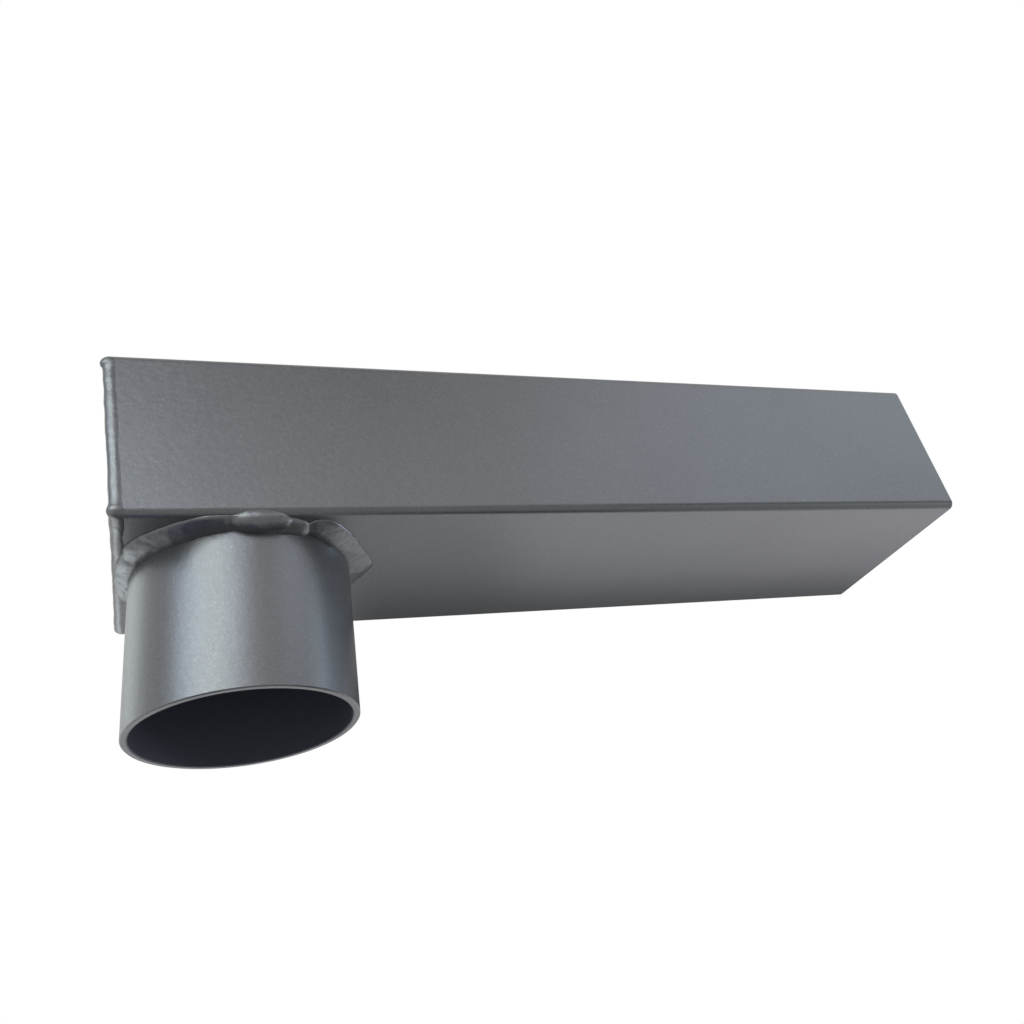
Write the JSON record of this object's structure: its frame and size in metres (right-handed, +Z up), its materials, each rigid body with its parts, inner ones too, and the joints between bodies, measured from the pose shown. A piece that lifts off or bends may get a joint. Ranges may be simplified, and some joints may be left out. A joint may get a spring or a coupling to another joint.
{
  "type": "downpipe shoe",
  "caption": "Welded rainwater shoe: a rectangular box section, capped at one end and open at the other, with a round pipe spigot welded under its closed end.",
  "frame": {"origin": "where the axis of the round spigot meets the underside of the box section", "axes": "+X along the box section from its closed end to its open mouth, +Z up out of the top of the box, the spigot pointing down; the spigot leans 3 degrees so that its rim stands nearer the closed end"},
  "size_m": [0.3639, 0.0932, 0.1286],
  "materials": {
    "metallic_coat": "satin metallic grey powder coat with a fine sparkle",
    "coated_weld": "the same grey coat over an uneven weld bead"
  },
  "bodies": {
    "root": {"box_section": "metallic_coat", "end_cap": "metallic_coat", "spigot": "metallic_coat", "end_cap_weld": "coated_weld", "spigot_weld": "coated_weld"}
  },
  "joints": []
}
